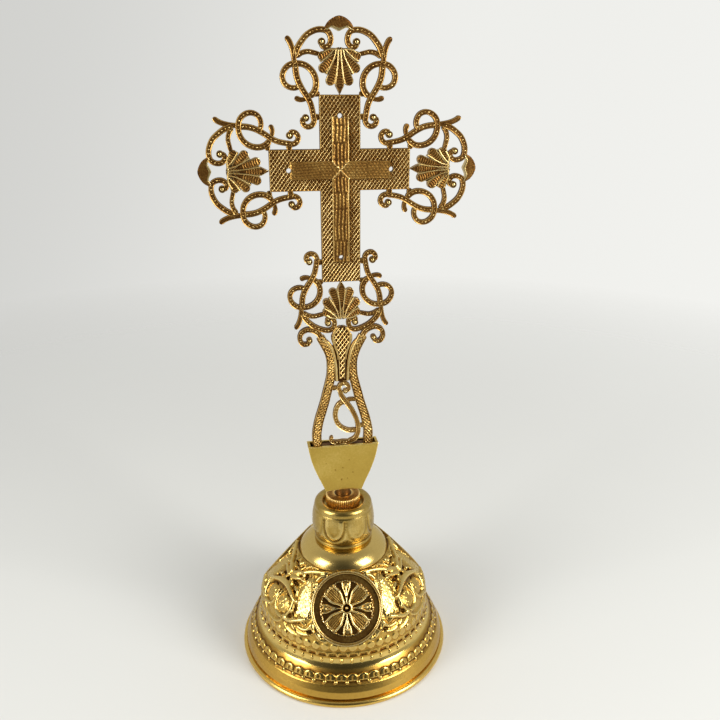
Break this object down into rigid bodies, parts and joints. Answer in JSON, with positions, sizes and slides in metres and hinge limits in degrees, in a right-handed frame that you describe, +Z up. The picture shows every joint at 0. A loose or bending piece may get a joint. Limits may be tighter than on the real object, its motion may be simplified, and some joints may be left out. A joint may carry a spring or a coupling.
{
  "type": "altar cross",
  "caption": "Pierced brass hand cross with scrollwork finials, standing in a flat pocket that turns on a domed, ornamented round base.",
  "frame": {"origin": "on the table, at the centre of the round foot", "axes": "+Z up, +X along the cross's arms, -Y towards the viewer of the front face"},
  "size_m": [0.1108, 0.1, 0.2821],
  "materials": {
    "polished_gold": "bright gilt, polished, with a satin foot band",
    "satin_gold": "brushed satin gilt",
    "copper_gold": "reddish gilt, knurled",
    "antique_brass": "cast brass, bright on the ridges and dark brown in the recesses",
    "raw_brass": "plain turned brass"
  },
  "bodies": {
    "base": {"base_foot": "polished_gold", "base_dome": "polished_gold", "rim_ring": "polished_gold", "collar": "polished_gold", "neck_bush": "polished_gold", "clamp_washer": "raw_brass", "clamp_nut": "raw_brass"},
    "holder": {"holder_stud": "copper_gold", "knurled_disc": "copper_gold", "pocket_front": "satin_gold", "pocket_tray": "satin_gold"},
    "cross": {"cross_plate": "antique_brass", "overlay_front": "antique_brass", "overlay_back": "antique_brass", "finial_top": "antique_brass", "finial_left": "antique_brass", "finial_right": "antique_brass", "finial_bottom": "antique_brass", "palmette_top": "antique_brass", "palmette_left": "antique_brass", "palmette_right": "antique_brass", "palmette_bottom": "antique_brass", "crest_top": "antique_brass", "crest_left": "antique_brass", "crest_right": "antique_brass", "handle_rails": "antique_brass", "handle_cone": "antique_brass", "handle_vine": "antique_brass"}
  },
  "joints": [
    {"name": "holder_turn", "type": "hinge", "parent": "base", "child": "holder", "pos_m": [0, 0, 0.075], "axis": [0, 0, 1], "continuous": true},
    {"name": "cross_lift", "type": "slide", "parent": "holder", "child": "cross", "axis": [0, 0, 1], "range_m": [0, 0.03]}
  ]
}
